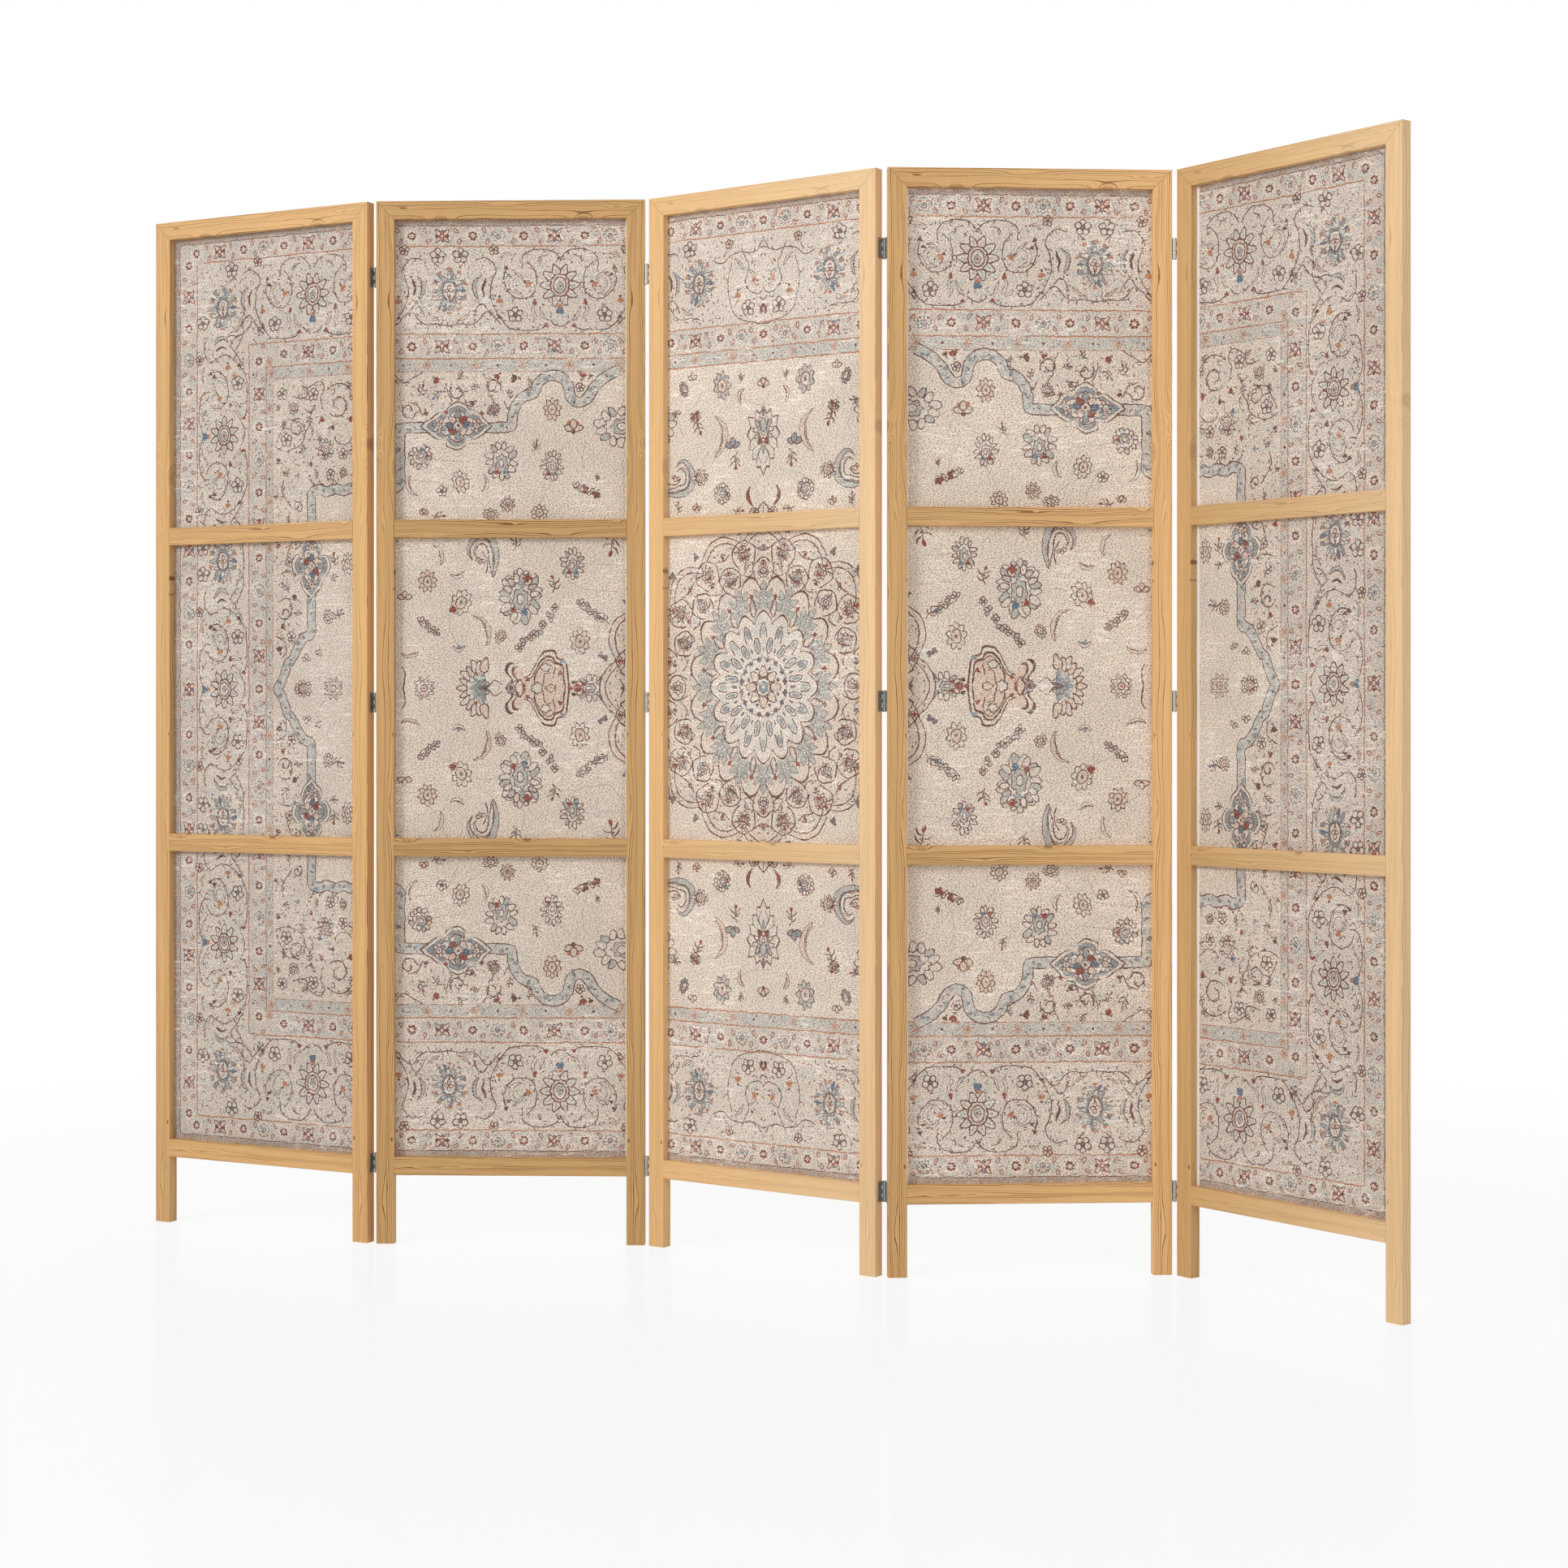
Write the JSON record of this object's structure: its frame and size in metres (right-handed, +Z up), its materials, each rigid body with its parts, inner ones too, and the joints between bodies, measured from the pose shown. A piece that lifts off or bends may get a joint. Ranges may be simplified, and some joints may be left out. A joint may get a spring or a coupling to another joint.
{
  "type": "folding screen",
  "caption": "Free-standing folding screen: pine-framed panels, each with a stretched printed cloth, joined by butt hinges so that they stand in a zigzag and fold up flat.",
  "frame": {"origin": "on the floor, under the middle of the screen's bounding box in its rest pose", "axes": "+Z up; +X along the opened screen, from the first panel to the last as seen from the printed front; the printed front faces -Y; each panel is turned about Z by its own yaw"},
  "size_m": [1.9802, 0.8326, 1.72],
  "materials": {
    "pine": "planed pine, satin clear lacquer",
    "printed_cloth": "matt printed cloth",
    "beech": "plain turned beech",
    "hinge_steel": "zinc plated",
    "screw_steel": "zinc plated"
  },
  "bodies": {
    "panel_1": {"panel_1_left_stile": "pine", "panel_1_right_stile": "pine", "panel_1_top_rail": "pine", "panel_1_upper_mid_rail": "pine", "panel_1_lower_mid_rail": "pine", "panel_1_bottom_rail": "pine", "panel_1_printed_cloth": "printed_cloth", "panel_1_retaining_beads": "pine", "panel_1_dowels": "beech", "panel_1_hinge_leaves": "hinge_steel", "panel_1_hinge_screws": "screw_steel"},
    "panel_2": {"panel_2_left_stile": "pine", "panel_2_right_stile": "pine", "panel_2_top_rail": "pine", "panel_2_upper_mid_rail": "pine", "panel_2_lower_mid_rail": "pine", "panel_2_bottom_rail": "pine", "panel_2_printed_cloth": "printed_cloth", "panel_2_retaining_beads": "pine", "panel_2_dowels": "beech", "panel_2_hinge_leaves": "hinge_steel", "panel_2_hinge_screws": "screw_steel", "hinge_pins_1_2": "hinge_steel"},
    "panel_3": {"panel_3_left_stile": "pine", "panel_3_right_stile": "pine", "panel_3_top_rail": "pine", "panel_3_upper_mid_rail": "pine", "panel_3_lower_mid_rail": "pine", "panel_3_bottom_rail": "pine", "panel_3_printed_cloth": "printed_cloth", "panel_3_retaining_beads": "pine", "panel_3_dowels": "beech", "panel_3_hinge_leaves": "hinge_steel", "panel_3_hinge_screws": "screw_steel", "hinge_pins_2_3": "hinge_steel", "hinge_pins_3_4": "hinge_steel"},
    "panel_4": {"panel_4_left_stile": "pine", "panel_4_right_stile": "pine", "panel_4_top_rail": "pine", "panel_4_upper_mid_rail": "pine", "panel_4_lower_mid_rail": "pine", "panel_4_bottom_rail": "pine", "panel_4_printed_cloth": "printed_cloth", "panel_4_retaining_beads": "pine", "panel_4_dowels": "beech", "panel_4_hinge_leaves": "hinge_steel", "panel_4_hinge_screws": "screw_steel", "hinge_pins_4_5": "hinge_steel"},
    "panel_5": {"panel_5_left_stile": "pine", "panel_5_right_stile": "pine", "panel_5_top_rail": "pine", "panel_5_upper_mid_rail": "pine", "panel_5_lower_mid_rail": "pine", "panel_5_bottom_rail": "pine", "panel_5_printed_cloth": "printed_cloth", "panel_5_retaining_beads": "pine", "panel_5_dowels": "beech", "panel_5_hinge_leaves": "hinge_steel", "panel_5_hinge_screws": "screw_steel"}
  },
  "joints": [
    {"name": "hinge_2_3", "type": "hinge", "parent": "panel_3", "child": "panel_2", "pos_m": [-0.1322, 0.1767, 0.893], "axis": [0, 0, 1], "range_deg": [-33, 143]},
    {"name": "hinge_1_2", "type": "hinge", "parent": "panel_2", "child": "panel_1", "pos_m": [-0.58216, 0.21442, 0.893], "axis": [0, 0, 1], "range_deg": [-155, 25]},
    {"name": "hinge_3_4", "type": "hinge", "parent": "panel_3", "child": "panel_4", "pos_m": [0.24986, -0.06397, 0.893], "axis": [0, 0, 1], "range_deg": [-38, 138]},
    {"name": "hinge_4_5", "type": "hinge", "parent": "panel_4", "child": "panel_5", "pos_m": [0.70139, -0.06233, 0.893], "axis": [0, 0, 1], "range_deg": [-124.5, 55.5]}
  ]
}
